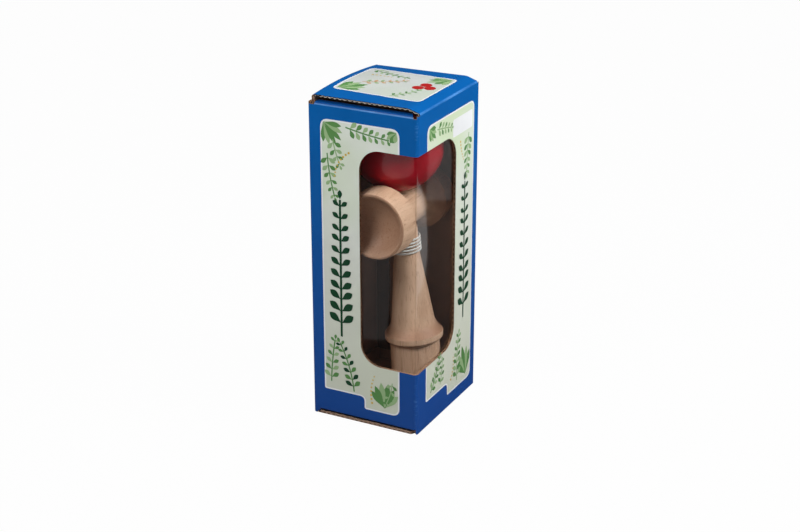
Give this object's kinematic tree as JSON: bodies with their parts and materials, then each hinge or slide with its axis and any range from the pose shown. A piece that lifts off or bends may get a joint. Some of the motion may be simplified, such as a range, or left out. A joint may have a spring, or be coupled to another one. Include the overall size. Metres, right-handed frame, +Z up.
{
  "type": "cup and ball toy in a window carton",
  "caption": "Turned wooden cup and ball toy with a red ball on its spike and a wound string, standing in a folded window carton with hinged lids.",
  "frame": {"origin": "middle of the carton's underside, on the surface that it stands on", "axes": "+Z up, -Y out of the front panel, +X out of the right panel"},
  "size_m": [0.075, 0.087, 0.214],
  "materials": {
    "printed_board": "thin corrugated board with a blue printed face",
    "kraft_board": "plain brown board",
    "clear_film": "clear glossy film",
    "turned_wood": "bare turned beech, finely sanded",
    "red_lacquer": "gloss red lacquer on wood",
    "cotton": "white twisted cotton"
  },
  "bodies": {
    "carton": {"front_panel": "printed_board", "right_panel": "printed_board", "back_panel": "printed_board", "left_panel": "printed_board", "glue_flap": "kraft_board", "window_film": "clear_film"},
    "lid": {"lid": "printed_board"},
    "lid_tuck": {"lid_tuck_flap": "printed_board"},
    "top_front_flap": {"top_front_dust_flap": "kraft_board"},
    "top_back_flap": {"top_back_dust_flap": "kraft_board"},
    "bottom_lid": {"bottom_lid": "printed_board"},
    "bottom_tuck": {"bottom_tuck_flap": "printed_board"},
    "bottom_front_flap": {"bottom_front_dust_flap": "kraft_board"},
    "bottom_back_flap": {"bottom_back_dust_flap": "kraft_board"},
    "toy": {"handle": "turned_wood", "cross_piece": "turned_wood", "string_bead": "turned_wood", "bead_knot": "cotton", "anchor_knot": "cotton", "string_tail": "cotton", "string_winding": "cotton", "string_lead": "cotton"},
    "ball": {"ball": "red_lacquer"}
  },
  "joints": [
    {"name": "lid_hinge", "type": "hinge", "parent": "carton", "child": "lid", "pos_m": [0.0375, 0, 0.20996], "axis": [0, 1, 0], "range_deg": [0, 180]},
    {"name": "lid_tuck_fold", "type": "hinge", "parent": "lid", "child": "lid_tuck", "pos_m": [-0.0342, 0, 0.21396], "axis": [0, 1, 0], "range_deg": [0, 36]},
    {"name": "top_front_flap_fold", "type": "hinge", "parent": "carton", "child": "top_front_flap", "pos_m": [0, -0.0435, 0.20846], "axis": [1, 0, 0], "range_deg": [0, 90]},
    {"name": "top_back_flap_fold", "type": "hinge", "parent": "carton", "child": "top_back_flap", "pos_m": [0, 0.0435, 0.20846], "axis": [-1, 0, 0], "range_deg": [0, 90]},
    {"name": "bottom_lid_hinge", "type": "hinge", "parent": "carton", "child": "bottom_lid", "pos_m": [0.036, 0, 0], "axis": [0, -1, 0], "range_deg": [0, 180]},
    {"name": "bottom_tuck_fold", "type": "hinge", "parent": "bottom_lid", "child": "bottom_tuck", "pos_m": [-0.0342, 0, 0], "axis": [0, -1, 0], "range_deg": [0, 36]},
    {"name": "bottom_front_flap_fold", "type": "hinge", "parent": "carton", "child": "bottom_front_flap", "pos_m": [0, -0.0435, 0.0035], "axis": [-1, 0, 0], "range_deg": [0, 90]},
    {"name": "bottom_back_flap_fold", "type": "hinge", "parent": "carton", "child": "bottom_back_flap", "pos_m": [0, 0.0435, 0.0035], "axis": [1, 0, 0], "range_deg": [0, 90]},
    {"name": "toy_lift", "type": "slide", "parent": "carton", "child": "toy", "axis": [0, 0, 1], "range_m": [0, 0.004]},
    {"name": "ball_spin", "type": "hinge", "parent": "toy", "child": "ball", "pos_m": [0.00129, 0, 0.17596], "axis": [-0.0976, 0, 0.9952], "range_deg": [-180, 180]}
  ],
  "couplings": [
    {"joint": "lid_tuck_fold", "follows": "lid_hinge", "ratio": 0.2},
    {"joint": "top_front_flap_fold", "follows": "lid_hinge", "ratio": 0.5},
    {"joint": "top_back_flap_fold", "follows": "lid_hinge", "ratio": 0.5},
    {"joint": "bottom_tuck_fold", "follows": "bottom_lid_hinge", "ratio": 0.2},
    {"joint": "bottom_front_flap_fold", "follows": "bottom_lid_hinge", "ratio": 0.5},
    {"joint": "bottom_back_flap_fold", "follows": "bottom_lid_hinge", "ratio": 0.5}
  ]
}
